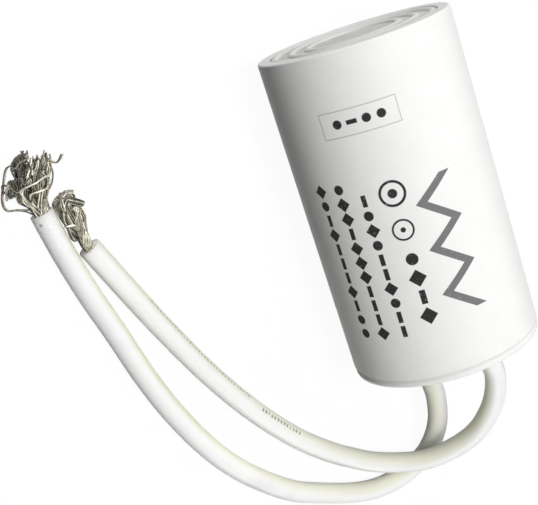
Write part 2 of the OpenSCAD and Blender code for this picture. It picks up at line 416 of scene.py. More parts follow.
@dataclass(frozen=True)
class PrintedPlastic:
    """White moulded plastic with plain printed motifs; dust and painted shade grey its recess.

    The grains are in features to a metre, from the slow change of colour to the fine relief.
    """

    name: str
    colour: Colour
    shade: Colour
    axis_height: float
    radius: float
    prints: tuple[Print, ...] = ()
    recess_top: float = 1.0
    recess_floor: float = 0.9
    recess_dust_and_shade_colour: Colour = (0.6, 0.585, 0.54)
    recess_margin: float = 0.0015
    painted_shade_fade: Flat = (-0.002, 0.013)
    patches: Flat = (0.3, 0.7)
    worn: Flat = (0.22, 0.4)
    skin: float = 0.0001
    slack: float = 0.0002
    cloud_grain: float = 260.0
    wear_grain: float = 2600.0
    dust_and_shade_grain: float = 420.0
    gloss_grain: float = 700.0
    relief_grain: float = 1500.0
    relief: float = 0.000006
    sheen: float = 0.06

    def build(self) -> bpy.types.Material:
        """Returns the material."""
        shader = Shader(self.name)
        x, y, z = shader.axes()
        drop = z - self.axis_height
        around = x.call("ARCTAN2", drop) * self.radius
        reach = (x * x + drop * drop).call("SQRT")
        skin = reach > self.radius - self.skin
        cloud = shader.noise(self.cloud_grain, 3.0)
        colour: object = shader.mix(cloud.ramp(*self.patches), self.colour, self.shade)
        wear = shader.noise(self.wear_grain).ramp(*self.worn).span(0.75, 1.0)
        for item in self.prints:
            colour = shader.mix(item.mask(shader, y, around) * skin * wear, colour, item.ink)
        # Dust and painted shade: the deeper into the end's recess, the greyer, in patches.
        dust_and_shade = (1 - y.ramp(self.recess_floor, self.recess_top)) * (y > self.recess_floor - self.slack)
        patches = shader.noise(self.dust_and_shade_grain, 3.0).ramp(*self.patches).span(0.6, 1.0)
        # Painted shade: the recess is darker towards -x and lighter towards +x.
        settled = x.ramp(*self.painted_shade_fade).span(1.0, 0.25)
        recess = reach < self.radius - self.recess_margin
        colour = shader.mix(dust_and_shade * patches * settled * recess, colour, self.recess_dust_and_shade_colour)
        shader.set(
            Base_Color=colour,
            Roughness=shader.noise(self.gloss_grain).span(0.3, 0.44),
            Specular_IOR_Level=self.sheen,
            IOR=1.46,
        )
        shader.bump(shader.noise(self.relief_grain), self.relief)
        return shader.material


@dataclass(frozen=True)
class MarkLine:
    """A stretch of faint dashes along a lead: where it starts, which way it runs, how it is turned."""

    start: Point
    way: Point
    length: float
    turn: float
    width: float
    strength: float


@dataclass(frozen=True)
class Insulation:
    """Semi-gloss ivory insulation, with painted shade tinted yellow on the inner side of its bend.

    It has a few grey smudges, a nick, and faint marks along one lead, and a painted grey shade
    along the outer side of its bend. The bend's spread weighs the way from its middle on each
    axis, and the painted tint grows over the given distances from it.
    """

    name: str
    colour: Colour
    shaded_yellow: Colour
    smudge_and_shade_grey: Colour
    bend_middle: Point
    bend_spread: Point
    nick: Point
    marks: tuple[MarkLine, ...]
    mark_pitch: float = 0.0007
    mark_share: float = 0.6
    mark_colour: Colour = (0.16, 0.16, 0.15)
    mark_grain: float = 1900.0
    mark_wear: Flat = (0.34, 0.46)
    mark_soft: float = 0.04
    lead_reach: float = 0.003
    nick_radius: float = 0.00026
    nick_soft: float = 0.00014
    nick_colour: Colour = (0.2, 0.2, 0.19)
    nick_depth: float = 0.7
    tint_growth: Flat = (0.02, 0.045)
    inner_side: Flat = (0.22, 1.0)
    outer_side: Flat = (0.72, 1.05)
    smudges: Flat = (0.56, 0.74)
    smudge_depth: float = 0.3
    cloud_grain: float = 180.0
    smudge_grain: float = 75.0
    gloss_grain: float = 900.0
    relief_grain: float = 1300.0
    relief: float = 0.00001
    depth: float = 0.0025

    def _dashes(self, shader: Shader, normal: bpy.types.NodeSocket, line: MarkLine) -> Wire:
        """Returns how dark a line of dashes is, from 0 to its strength."""
        off = shader.offset(line.start)
        across = (-line.way[1], line.way[0], 0.0)
        run = shader.dot(off, line.way)
        dashes = (run / self.mark_pitch).call("FRACT") < self.mark_share
        row = (shader.dot(normal, across) - line.turn).within(line.width, self.mark_soft)
        near = run.between(0.0, line.length) * shader.dot(off, across).within(self.lead_reach)
        worn = shader.noise(self.mark_grain).ramp(*self.mark_wear)
        return dashes * row * near * worn * line.strength

    def build(self) -> bpy.types.Material:
        """Returns the material."""
        shader = Shader(self.name)
        normal = shader.node("ShaderNodeNewGeometry").outputs["Normal"]
        cloud = shader.noise(self.cloud_grain)
        off = shader.offset(self.bend_middle)
        away = shader.vector("MULTIPLY", off, self.bend_spread)
        away = shader.vector("NORMALIZE", away.outputs[0])
        outer = shader.dot(normal, away.outputs[0])
        tint_strength = shader.length(off).ramp(*self.tint_growth).span(0.7, 1.4)
        # Painted shade, tinted yellow: surfaces facing the inside of the bend are darkened, more so away
        # from its middle.
        yellow_shade = (outer * -1.0).ramp(*self.inner_side) * cloud.span(0.8, 1.2) * tint_strength
        # Painted shade: a grey edge along the outer side of the bend.
        edge_shade = outer.ramp(*self.outer_side)
        colour = shader.mix(yellow_shade.call("MINIMUM", 1.0), self.colour, self.shaded_yellow)
        colour = shader.mix(edge_shade, colour, self.smudge_and_shade_grey)
        smudge = shader.noise(self.smudge_grain, 4.0).ramp(*self.smudges)
        colour = shader.mix(smudge * self.smudge_depth, colour, self.smudge_and_shade_grey)
        spot = shader.length(shader.offset(self.nick)).within(self.nick_radius, self.nick_soft)
        colour = shader.mix(spot * self.nick_depth, colour, self.nick_colour)
        for line in self.marks:
            colour = shader.mix(self._dashes(shader, normal, line), colour, self.mark_colour)
        shader.set(
            Base_Color=colour,
            Roughness=shader.noise(self.gloss_grain).span(0.33, 0.47),
            Specular_IOR_Level=0.3,
            IOR=1.48,
            Subsurface_Weight=0.8,
            Subsurface_Radius=(1.0, 1.0, 0.95),
            Subsurface_Scale=self.depth,
        )
        shader.bump(shader.noise(self.relief_grain), self.relief)
        return shader.material


class Tone(Enum):
    """A bare wire's base colour: plain tin, copper, and lit and shaded copies of the tin that paint
    highlight and shade.
    """

    # The bright tone paints highlight, and the two darkest tones paint the shade between packed wires.
    BRIGHT = (0.76, 0.73, 0.60)
    PLAIN = (0.41, 0.39, 0.305)
    DULL = (0.12, 0.115, 0.085)
    BLUISH = (0.12, 0.12, 0.13)
    COPPER = (0.38, 0.27, 0.20)


@dataclass(frozen=True)
class TinnedWire:
    """Tinned copper wire of one tone."""

    tone: Tone
    stain_grain: float = 1400.0
    stain_depth: float = 0.45
    metallic: float = 0.4
    relief_grain: float = 4000.0
    relief: float = 0.00001

    def build(self) -> bpy.types.Material:
        """Returns the material."""
        shader = Shader(f"tinned_wire_{self.tone.name.lower()}")
        stain = shader.noise(self.stain_grain, 3.0)
        light = self.tone.value
        dark = tuple(part * self.stain_depth for part in light)
        shader.set(
            Base_Color=shader.mix(stain.ramp(0.35, 0.7), light, dark),
            Roughness=stain.span(0.28, 0.53),
            Metallic=self.metallic,
        )
        shader.bump(shader.noise(self.relief_grain), self.relief)
        return shader.material


# ---- object helpers


def add_object(name: str, data: bpy.types.ID) -> bpy.types.Object:
    """Adds an object with this data to the scene and returns it."""
    added = bpy.data.objects.new(name, data)
    bpy.context.scene.collection.objects.link(added)
    return added


def as_piece(name: str, data: bpy.types.ID, nodes: Sequence[str]) -> bpy.types.Object:
    """Adds a mesh or a curve to the scene as a piece of the capacitor.

    Args:
        name: The piece's name.
        data: Its mesh or curve, placed in the row frame.
        nodes: The CAD nodes that it stands for.

    Returns:
        The new object.
    """
    piece = add_object(name, data)
    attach(piece, ROOT)
    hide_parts(*nodes)
    LOG.info("%s: stands for %s", name, ", ".join(nodes))
    return piece


def mesh_of(form: bmesh.types.BMesh, name: str, finish: bpy.types.Material) -> bpy.types.Mesh:
    """Turns a form into a mesh of one finish, and frees the form."""
    mesh = bpy.data.meshes.new(name)
    form.to_mesh(mesh)
    form.free()
    mesh.materials.append(finish)
    return mesh


def smooth_by_angle(mesh: bpy.types.Mesh, degrees: float = 32.0) -> None:
    """Shades a mesh smooth, apart from edges sharper than an angle."""
    for face in mesh.polygons:
        face.use_smooth = True
    mesh.set_sharp_from_angle(angle=math.radians(degrees))


def arc(centre: Flat, radius: float, start: float, end: float, steps: int) -> list[Flat]:
    """Returns points on an arc in a plane.

    Args:
        centre: The arc's centre.
        radius: Its radius.
        start: The angle it starts at, in degrees.
        end: The angle it ends at, in degrees.
        steps: Number of stretches.

    Returns:
        The points, both ends among them.
    """
    turns = (math.radians(start + (end - start) * k / steps) for k in range(steps + 1))
    return [(centre[0] + radius * math.cos(a), centre[1] + radius * math.sin(a)) for a in turns]


def smooth_line(points: Sequence[Vector], parts: int) -> list[Vector]:
    """Returns a smooth line through points.

    Args:
        points: The points it passes.
        parts: Stretches between two of them.

    Returns:
        The line's points.
    """
    line: list[Vector] = []
    last = len(points) - 1
    for k in range(last):
        a, b, c, d = points[max(k - 1, 0)], points[k], points[k + 1], points[min(k + 2, last)]
        for step in range(parts):
            u = step / parts
            line.append(
                b
                + (c - a) * (u / 2)
                + (2 * a - 5 * b + 4 * c - d) * (u * u / 2)
                + (3 * b - a - 3 * c + d) * (u**3 / 2)
            )
    line.append(points[last].copy())
    return line


def round_curve(
    name: str,
    lines: Iterable[tuple[Sequence[Vector], int]],
    radius: float,
    bevel: int,
    finishes: Sequence[bpy.types.Material],
) -> bpy.types.Curve:
    """Makes a curve of round section along some lines.

    Args:
        name: The curve's name.
        lines: Each line's points and its finish's number.
        radius: Radius of the section.
        bevel: Blender's bevel resolution.
        finishes: The materials, in the order of their numbers.

    Returns:
        The curve.
    """
    curve = bpy.data.curves.new(name, "CURVE")
    curve.dimensions = "3D"
    curve.bevel_depth = radius
    curve.bevel_resolution = bevel
    curve.use_fill_caps = True
    for finish in finishes:
        curve.materials.append(finish)
    for points, tone in lines:
        spline = curve.splines.new("POLY")
        spline.points.add(len(points) - 1)
        for place, point in zip(spline.points, points):
            place.co = (*point, 1.0)
        spline.use_smooth = True
        spline.material_index = tone
    return curve


# ---- camera, light and floor


@dataclass(frozen=True)
class Softbox:
    """A square area light: its name, the side it shines from and its power in watts."""

    name: str
    side: Point
    power: float


SOFTBOXES = (
    Softbox("key", (-0.215, 0.107, 0.971), 3.1),
    Softbox("end_fill", (0.2, 1.0, 0.25), 1.75),
    Softbox("lead_fill", (-0.3, -1.0, 0.25), 1.25),
    Softbox("side_fill", (0.85, -0.25, 0.5), 0.5),
)


@dataclass
class Studio:
    """Camera, lights and a pale floor."""

    camera_at: Point = (-0.12019, 0.04416, 0.14849)
    camera_turn: Point = (-0.987, -37.419, -22.771)
    lens: float = 79.08
    sensor: float = 36.0
    nearest: float = 0.005
    farthest: float = 20.0
    floor_size: float = 4.0
    floor_parts: int = 8
    softboxes: tuple[Softbox, ...] = SOFTBOXES
    light_distance: float = 0.6
    light_size: float = 0.22
    subject: Point = (-0.01, 0.0, 0.012)

    def camera(self) -> None:
        """Makes the camera."""
        data = bpy.data.cameras.new("camera")
        data.lens = self.lens
        data.sensor_width = self.sensor
        data.clip_start = self.nearest
        data.clip_end = self.farthest
        camera = add_object("camera", data)
        camera.location = self.camera_at
        camera.rotation_euler = Euler([math.radians(a) for a in self.camera_turn], "XYZ")
        bpy.context.scene.camera = camera

    def lights(self) -> None:
        """Makes the lights, each facing the capacitor."""
        for box in self.softboxes:
            data = bpy.data.lights.new(box.name, "AREA")
            data.energy = box.power
            data.size = self.light_size
            light = add_object(box.name, data)
            way = Vector(box.side).normalized()
            light.location = Vector(self.subject) + way * self.light_distance
            light.rotation_mode = "QUATERNION"
            light.rotation_quaternion = way.to_track_quat("Z", "Y")

    def _backdrop_share(self, tree: bpy.types.NodeTree) -> Wire:
        """Returns 1 for what is seen directly, in gloss or through glass, else 0."""
        path = tree.nodes.new("ShaderNodeLightPath")
        camera, gloss, clear = (
            Wire(tree, path.outputs[f"Is {ray} Ray"]) for ray in ("Camera", "Glossy", "Transmission")
        )
        return camera.call("MAXIMUM", gloss).call("MAXIMUM", clear)

    def world(self, ambient: float = 0.045) -> None:
        """Makes a white backdrop whose light on the object is a soft grey."""
        world = bpy.data.worlds.new("backdrop")
        world.use_nodes = True
        tree = world.node_tree
        background = tree.nodes["Background"]
        background.inputs["Color"].default_value = (1.0, 1.0, 1.0, 1.0)
        strength = self._backdrop_share(tree) * (1.0 - ambient) + ambient
        tree.links.new(strength.socket, background.inputs["Strength"])
        bpy.context.scene.world = world

    def floor(self, glow: float = 0.95, albedo: float = 0.05) -> None:
        """Makes the floor: white to the eye, with the object's soft shadow on it."""
        shader = Shader("pale_floor")
        shader.set(Base_Color=(albedo, albedo, albedo), Roughness=0.9, Specular_IOR_Level=0.0)
        shine = self._backdrop_share(shader.tree) * glow
        light = shader.node("ShaderNodeEmission", inputs={"Strength": shine})
        surface = shader.surface.outputs[0]
        both = shader.node("ShaderNodeAddShader", inputs={0: surface, 1: light.outputs[0]})
        shader.feed(shader.output.inputs["Surface"], both.outputs[0])
        form = bmesh.new()
        parts = self.floor_parts
        bmesh.ops.create_grid(form, x_segments=parts, y_segments=parts, size=self.floor_size / 2)
        floor = add_object("floor", mesh_of(form, "floor", shader.material))


# ---- leads


@dataclass
class Lead:
    """A flying lead: an insulated cord from its hole in the cover to its cut end.

    The route's points are in metres from the cover's face and from how low the lead can lie.
    """

    name: str
    node: str
    exit: Point
    route: tuple[Point, ...]
    length: float
    cover_face: float = -0.026
    radius: float = 0.0017
    bevel: int = 6

    def centreline(self, parts: int = 10) -> list[Vector]:
        """Returns the middle of the lead, never lower than it can lie."""
        marks = [Vector(self.exit)]
        marks += [Vector((x, y + self.cover_face, z + self.radius)) for x, y, z in self.route]
        line = smooth_line(marks, parts)
        for point in line:
            point.z = max(point.z, self.radius)
        return line

    def end_frame(self) -> tuple[Vector, Vector, Vector]:
        """Returns the cut end's place, the lead's heading there and its left side."""
        last = Vector(self.route[-1])
        heading = (last - Vector(self.route[-2])).normalized()
        end = Vector((last.x, last.y + self.cover_face, last.z + self.radius))
        return end, heading, Vector((0, 0, 1)).cross(heading)

    def build(self, finish: bpy.types.Material) -> bpy.types.Object:
        """Makes the insulated cord.

        Args:
            finish: The insulation's material.

        Returns:
            The cord's curve object.
        """
        curve = round_curve(self.name, [(self.centreline(), 0)], self.radius, self.bevel, [finish])
        LOG.info("%s: cord %.0f mm long", self.name, self.length / MM)
        return as_piece(self.name, curve, [self.node])


# ---- bare strands


@dataclass(frozen=True)
class Tuft:
    """Wires that run together.

    The start and the guide's points are in millimetres from the lead's end: along its heading,
    to its left, and up. The girths are the bundle's radius at even steps along the guide, the
    fray is how far a wire wanders by its tip, and the curl is the radius of its loose coils, all
    in millimetres.
    """

    wires: int
    girths: tuple[float, ...]
    twist: float
    tones: tuple[Tone, ...]
    guide: tuple[Point, ...]
    fray: float = 0.15
    curl: float = 0.0
    coils: float = 2.0
    shortfall: float = 0.2
    root: Flat = (0.0, 0.0)
    start: Point = (0.0, 0.0, 0.0)

    def girth(self, t: float) -> float:
        """Returns the bundle's radius at a share of its length."""
        place = t * (len(self.girths) - 1)
        step = min(int(place), len(self.girths) - 2)
        return self.girths[step] + (self.girths[step + 1] - self.girths[step]) * (place - step)


@dataclass
class BareStrands:
    """The bare wires at a lead's cut end.

    Lengths are in millimetres. The wires settle into their tufts over the first share of the
    guide. Each wire's own fray, curl and coils are drawn as shares of its tuft's.
    """

    name: str
    node: str
    lead: Lead
    tufts: tuple[Tuft, ...]
    seed: int
    wire_radius: float = 0.12
    bevel: int = 1
    root_girth: float = 0.75
    golden_turn: float = 137.5
    settles: float = 0.25
    start_inside: float = 0.3
    parts: int = 8
    slow_waves: Flat = (3.0, 6.0)
    quick_waves: Flat = (9.0, 14.0)
    quick_share: float = 0.35
    own_fray: Flat = (0.4, 1.3)
    own_curl: Flat = (0.5, 1.2)
    own_coils: Flat = (0.7, 1.3)
    coil_reach: float = 0.8
    coil_drift: float = 1.3

    def _seat(self, own: int, wires: int, girth: float, turn: float) -> Vector:
        """Returns a wire's place in a round bundle, across and up, in millimetres.

        Args:
            own: The wire's number.
            wires: How many wires the bundle has.
            girth: The bundle's radius.
            turn: How far the bundle is turned, in degrees.

        Returns:
            The place.
        """
        angle = math.radians(self.golden_turn * own + turn)
        return girth * math.sqrt((own + 0.5) / wires) * Vector((math.cos(angle), math.sin(angle)))

    def _wire(self, tuft: Tuft, own: int, chance: random.Random) -> list[Vector]:
        """Returns one wire's line.

        Args:
            tuft: The tuft it is in.
            own: Its number in the tuft.
            chance: Source of its small differences.

        Returns:
            Its points in the row frame.
        """
        end, heading, left = self.lead.end_frame()
        reach = 1.0 - tuft.shortfall * chance.random()
        phases = [chance.uniform(-math.pi, math.pi) for _ in range(4)]
        rates = [chance.uniform(*waves) for waves in (self.slow_waves, self.slow_waves, self.quick_waves)]
        fray = tuft.fray * chance.uniform(*self.own_fray)
        curl = tuft.curl * chance.uniform(*self.own_curl)
        coils = tuft.coils * chance.uniform(*self.own_coils) * chance.choice((-1.0, 1.0))
        guide = smooth_line([Vector(p) for p in (tuft.start, *tuft.guide)], self.parts)
        count = max(self.parts, round(len(guide) * reach))
        root = Vector(tuft.root) + self._seat(own, tuft.wires, self.root_girth, 0.0)
        line = [end + (-self.start_inside * heading + root.x * left + Vector((0, 0, root.y))) * MM]
        for k, middle in enumerate(guide[:count]):
            t = k / (len(guide) - 1)
            settled = min(1.0, t / self.settles)
            settled = settled * settled * (3.0 - 2.0 * settled)
            seat = self._seat(own, tuft.wires, tuft.girth(t), tuft.twist * t)
            quick = rates[2] * t
            wander = Vector(
                (
                    math.sin(rates[0] * t + phases[0]) + self.quick_share * math.sin(quick + phases[2]),
                    math.sin(rates[1] * t + phases[1]) + self.quick_share * math.cos(quick + phases[3]),
                )
            )
            angle = math.tau * coils * t + phases[0]
            loose = min(1.0, 2.0 * t)
            off = (1.0 - settled) * root + settled * seat + wander * (fray * t)
            off += Vector((math.cos(angle), math.sin(angle))) * (curl * loose)
            surge = math.sin(angle * self.coil_drift + phases[1])
            forward = middle.x + curl * loose * self.coil_reach * surge
            up = max(middle.z + off.y, -self.lead.radius / MM + self.wire_radius)
            line.append(end + (forward * heading + (middle.y + off.x) * left + Vector((0, 0, up))) * MM)
        return line

    def build(self, finishes: dict[Tone, bpy.types.Material]) -> bpy.types.Object:
        """Makes the wires.

        Args:
            finishes: The material of each tone.

        Returns:
            The piece.
        """
        chance = random.Random(self.seed)
        tones = list(finishes)
        lines = []
        for tuft in self.tufts:
            for own in range(tuft.wires):
                tone = tones.index(tuft.tones[own % len(tuft.tones)])
                lines.append((self._wire(tuft, own, chance), tone))
        radius = self.wire_radius * MM
        curve = round_curve(self.name, lines, radius, self.bevel, list(finishes.values()))
        shown = add_object(self.name + "_form", curve)
        graph = bpy.context.evaluated_depsgraph_get()
        mesh = bpy.data.meshes.new_from_object(shown.evaluated_get(graph))
        bpy.data.objects.remove(shown)
        mesh.name = self.name
        LOG.info("%s: %d wires", self.name, len(lines))
        return as_piece(self.name, mesh, [self.node])


# ---- can and cover


@dataclass
class Can:
    """The moulded can: a round cup whose closed end has ribs in a shallow recess, in millimetres."""

    radius: float = 15.0
    axis_height: float = 15.0
    closed_at: float = 26.0
    mouth_at: float = -24.6
    wall: float = 1.3
    end_wall: float = 1.6
    edge_r: float = 0.4
    land_w: float = 1.9
    recess: float = 0.4
    ribs: int = 3
    rib_pitch: float = 2.65
    rib_w: float = 1.3
    rib_inset: float = 0.75
    land_chamfer: float = 0.08
    mouth_chamfer: float = 0.1
    rib_steps: int = 10
    edge_steps: int = 8
    turns: int = 192
    weld: float = 1e-7

    def _outline(self) -> list[Flat]:
        """Returns the can's section from its axis out over the closed end and back inside."""
        floor = self.closed_at - self.recess
        bore = self.radius - self.wall
        rise_r = ((self.rib_w / 2) ** 2 + self.recess**2) / (2 * self.recess)
        half = math.degrees(math.asin(self.rib_w / 2 / rise_r))
        line: list[Flat] = [(0.0, floor)]
        outer = self.radius - self.land_w - self.rib_inset
        for k in reversed(range(self.ribs)):
            crest = (outer - k * self.rib_pitch, self.closed_at - rise_r)
            line += arc(crest, rise_r, 90 + half, 90 - half, self.rib_steps)
        land, cut = self.radius - self.land_w, self.land_chamfer
        line += [(land, floor), (land, self.closed_at - cut), (land + cut, self.closed_at)]
        edge = (self.radius - self.edge_r, self.closed_at - self.edge_r)
        line += arc(edge, self.edge_r, 90, 0, self.edge_steps)
        cut = self.mouth_chamfer
        line += [(self.radius, self.mouth_at + cut), (self.radius - cut, self.mouth_at)]
        line += [(bore, self.mouth_at), (bore, floor - self.end_wall), (0.0, floor - self.end_wall)]
        return line

    def build(self, finish: bpy.types.Material) -> bpy.types.Object:
        """Makes the can.

        Args:
            finish: The can's material.

        Returns:
            The piece.
        """
        form = bmesh.new()
        spots = [form.verts.new((r * MM, y * MM, self.axis_height * MM)) for r, y in self._outline()]
        for a, b in zip(spots, spots[1:]):
            form.edges.new((a, b))
        bmesh.ops.spin(
            form,
            geom=form.verts[:] + form.edges[:],
            cent=(0, 0, self.axis_height * MM),
            axis=(0, 1, 0),
            angle=math.tau,
            steps=self.turns,
            use_merge=True,
        )
        bmesh.ops.remove_doubles(form, verts=form.verts[:], dist=self.weld)
        bmesh.ops.recalc_face_normals(form, faces=form.faces[:])
        mesh = mesh_of(form, "can_shell", finish)
        smooth_by_angle(mesh)
        return as_piece("can_shell", mesh, ["case"])


@dataclass
class EndCover:
    """The cover that closes the can round the leads."""

    node: str = "end_cover"
    weld: float = 1e-6

    def build(self, finish: bpy.types.Material) -> bpy.types.Object:
        """Makes the cover from the CAD node's own faces, welded and smooth.

        Args:
            finish: The cover's material.

        Returns:
            The piece.
        """
        form = bmesh.new()
        form.from_mesh(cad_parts[self.node].data)
        bmesh.ops.remove_doubles(form, verts=form.verts[:], dist=self.weld)
        mesh = mesh_of(form, "lead_end_cover", finish)
        smooth_by_angle(mesh)
        return as_piece("lead_end_cover", mesh, [self.node])


@dataclass
class Innards:
    """The pieces inside the can, which keep their CAD form."""

    axis_height: float

    def _finishes(self) -> tuple[tuple[Union[Mottled, WoundEdge], tuple[str, ...]], ...]:
        """Returns each finish with the nodes that have it."""
        film = WoundEdge("metallised_film", (0.70, 0.70, 0.72), (0.5, 0.5, 0.53), self.axis_height)
        spray = Mottled("sprayed_zinc", (0.48, 0.48, 0.48), (0.36, 0.36, 0.37), 2500.0, 0.7, 0.7, 0.00004)
        solder = Mottled("solder_metal", (0.70, 0.70, 0.70), (0.58, 0.58, 0.6), 900.0, 0.3, 0.9)
        core = Mottled("core_plastic", (0.86, 0.85, 0.80), (0.82, 0.80, 0.74))
        wrap = Mottled("wrap_film", (0.84, 0.82, 0.70), (0.80, 0.77, 0.64), 500.0, 0.25)
        resin = Mottled("cast_resin", (0.76, 0.69, 0.54), (0.70, 0.62, 0.47), 350.0, 0.45)
        wire = Mottled("inside_wire", (0.62, 0.60, 0.52), (0.5, 0.47, 0.38), 1600.0, 0.35, 0.9)
        sleeve = Mottled("inside_insulation", (0.86, 0.86, 0.80), (0.82, 0.82, 0.73), 600.0, 0.4)
        return (
            (film, ("film_winding",)),
            (spray, ("front_end_spray", "rear_end_spray")),
            (solder, ("front_solder_joint", "rear_solder_joint")),
            (core, ("winding_core",)),
            (wrap, ("winding_wrap",)),
            (resin, ("potting_resin",)),
            (wire, ("lead_a_conductor", "lead_b_conductor")),
            (sleeve, ("lead_a_inner_sleeve", "lead_b_inner_sleeve")),
        )

    def dress(self) -> None:
        """Gives each inside node its material."""
        for finish, nodes in self._finishes():
            material = finish.build()
            for node in nodes:
                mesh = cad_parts[node].data
                mesh.materials.clear()
                mesh.materials.append(material)
                LOG.info("%s: keeps its CAD form, %s", node, finish.name)


# ---- the capacitor

LOWER_LEAD = Lead(
    name="lower_lead",
    node="lead_a",
    exit=(0.0, -0.026, 0.007),
    length=0.1152,
    route=(
        (0.0014, -0.004, 0.0047), (0.0023, -0.008, 0.0043), (0.0025, -0.012, 0.0043),
        (0.0013, -0.0165, 0.0039), (-0.0015, -0.020, 0.0029), (-0.0055, -0.022, 0.0014),
        (-0.0095, -0.0223, 0.0005), (-0.0135, -0.0215, 0.0001), (-0.018, -0.0195, 0.0),
        (-0.0235, -0.0163, 0.0), (-0.028, -0.0133, 0.0), (-0.0325, -0.009, 0.0),
        (-0.037, -0.0035, 0.0), (-0.0405, 0.0025, 0.0), (-0.0435, 0.0095, 0.0),
        (-0.0457, 0.0165, 0.0), (-0.0475, 0.024, 0.0), (-0.0493, 0.031, 0.0), (-0.0507, 0.038, 0.0),
        (-0.0516, 0.0442, 0.0),
    ),
)
UPPER_LEAD = Lead(
    name="upper_lead",
    node="lead_b",
    exit=(0.0, -0.026, 0.023),
    length=0.1032,
    route=(
        (0.0013, -0.003, 0.0207), (0.0024, -0.006, 0.0197), (0.0028, -0.0095, 0.0181),
        (0.0024, -0.0125, 0.0164), (0.0012, -0.0157, 0.0139), (-0.0005, -0.0177, 0.0113),
        (-0.003, -0.019, 0.0083), (-0.0056, -0.0193, 0.0058), (-0.0086, -0.0185, 0.0033),
        (-0.012, -0.0168, 0.0013), (-0.015, -0.0146, 0.0003), (-0.019, -0.0112, 0.0),
        (-0.024, -0.006, 0.0), (-0.029, 0.0006, 0.0), (-0.033, 0.007, 0.0), (-0.0365, 0.0135, 0.0),
        (-0.040, 0.021, 0.0), (-0.043, 0.028, 0.0), (-0.0467, 0.037, 0.0),
    ),
)
# Palettes of wire tones, where the bright tone is painted highlight and the darkest tones are painted
# shade.
BRUSH = (Tone.PLAIN, Tone.BRIGHT, Tone.DULL, Tone.PLAIN, Tone.PLAIN, Tone.DULL, Tone.PLAIN)
TANGLE = (Tone.BLUISH, Tone.DULL, Tone.DULL, Tone.PLAIN, Tone.DULL)
PALE = (Tone.BRIGHT, Tone.BRIGHT, Tone.PLAIN)
LOWER_TUFTS = (
    Tuft(
        26, (0.7, 0.9, 1.1, 1.2), 40, BRUSH,
        (
            (0.9, -0.3, 0.2), (2, -0.6, 0.5), (3.3, -1, 0.8), (4.8, -1.7, 1.1), (6.2, -2.5, 1.3),
            (7.3, -2.9, 1.4),
        ),
        fray=0.6, curl=0.15, coils=1.5, root=(-0.2, 0.1),
    ),
    Tuft(
        14, (0.6, 0.6, 0.7, 0.8), -50, BRUSH,
        (
            (0.8, -0.7, 0.2), (1.9, -1.2, 0.6), (2.9, -1.8, 1), (4.3, -2.6, 1.3), (5.7, -3, 1.5),
            (7, -3.4, 1.6),
        ),
        fray=0.6, curl=0.2, coils=1.5, root=(-0.5, 0.1),
    ),
    Tuft(
        38, (0.7, 0.8, 0.95, 1.0), 90, TANGLE,
        (
            (1.5, 0.3, 0.2), (3.2, 0.4, 0.4), (4.8, 0.4, 0.6), (6.3, 0.2, 0.7), (7.6, -0.4, 0.8),
            (8.5, -1.1, 0.9),
        ),
        fray=0.4, curl=0.5, coils=2.8, root=(0.15, -0.1),
    ),
    Tuft(
        22, (0.6, 0.6, 0.7, 0.6), 60, TANGLE,
        (
            (1.4, 0.5, 0.1), (2.6, 1.1, 0.2), (3.7, 1.5, 0.3), (4.9, 1.9, 0.4), (5.7, 2.1, 0.4),
            (5.2, 2.5, 0.3), (4.3, 2.6, 0.2), (3.9, 2, 0.3),
        ),
        fray=0.3, curl=0.35, coils=2.6, root=(0.2, 0.0),
    ),
    Tuft(
        9, (0.4, 0.5, 0.5, 0.4), 120, BRUSH,
        ((1.3, 0.6, 0.2), (2.1, 1.4, 0.4), (2.9, 2, 0.6), (3.9, 1.9, 0.8), (4.4, 1.3, 1), (4.2, 0.4, 1.3)),
        root=(0.3, 0.2),
    ),
    Tuft(
        4, (0.3, 0.3, 0.3), 60, PALE,
        (
            (1.5, 0.9, 0.5), (2.7, 1.5, 0.8), (4.2, 1.8, 1.1), (4.5, 1.2, 1.6), (4.4, -0.3, 2.1),
            (4.5, -1.5, 2.4), (4.2, -2.9, 2.4),
        ),
        root=(0.2, 0.3),
    ),
    Tuft(
        3, (0.3, 0.3, 0.3), 60, (Tone.BRIGHT, Tone.COPPER, Tone.BRIGHT),
        (
            (1.2, 0.4, 0.6), (2.5, 0.8, 1.1), (3.3, 0.6, 1.7), (3.2, -0.3, 2.1), (3, -1.5, 2.3),
            (3.3, -2.1, 2.2),
        ),
        root=(0.0, 0.3),
    ),
    Tuft(
        3, (0.3, 0.2, 0.2), 0, PALE,
        ((1.4, 0, 0.5), (3.6, 0, 1.1), (5.3, 0.1, 1.5), (6.4, -0.8, 1.6), (7.5, -1.7, 1.6)),
        root=(0.1, 0.2),
    ),
    Tuft(
        2, (0.2, 0.15, 0.15), 0, (Tone.DULL, Tone.PLAIN),
        (
            (0.9, 0.9, -0.7), (1.9, 2.5, -0.9), (2.7, 3.9, -0.9), (4.1, 3.8, -0.9), (6, 2.5, -0.8),
            (7.5, 1.3, -0.6), (7.6, 0.5, -0.3), (7, -0.1, 0),
        ),
        fray=0.05, shortfall=0.05, root=(0.4, -0.3),
    ),
    Tuft(
        3, (0.3, 0.25, 0.2), 30, (Tone.DULL, Tone.PLAIN, Tone.BLUISH),
        (
            (1, -0.7, 0.3), (2.6, -1.7, 0.9), (4.4, -2.8, 1.4), (5.8, -3.6, 1.7), (5.6, -4.1, 1.8),
            (5.2, -4.6, 1.9), (5.4, -5.3, 2), (5.9, -5.9, 2.1),
        ),
        fray=0.12, shortfall=0.04, root=(-0.5, 0.1),
    ),
    Tuft(
        24, (0.65, 0.85, 1.0), 30, PALE,
        ((0.7, -0.2, 0.5), (1.6, -0.4, 1), (2.6, -0.8, 1.5), (3.6, -1.3, 1.9)),
        shortfall=0.5, root=(0.0, 0.4),
    ),
)
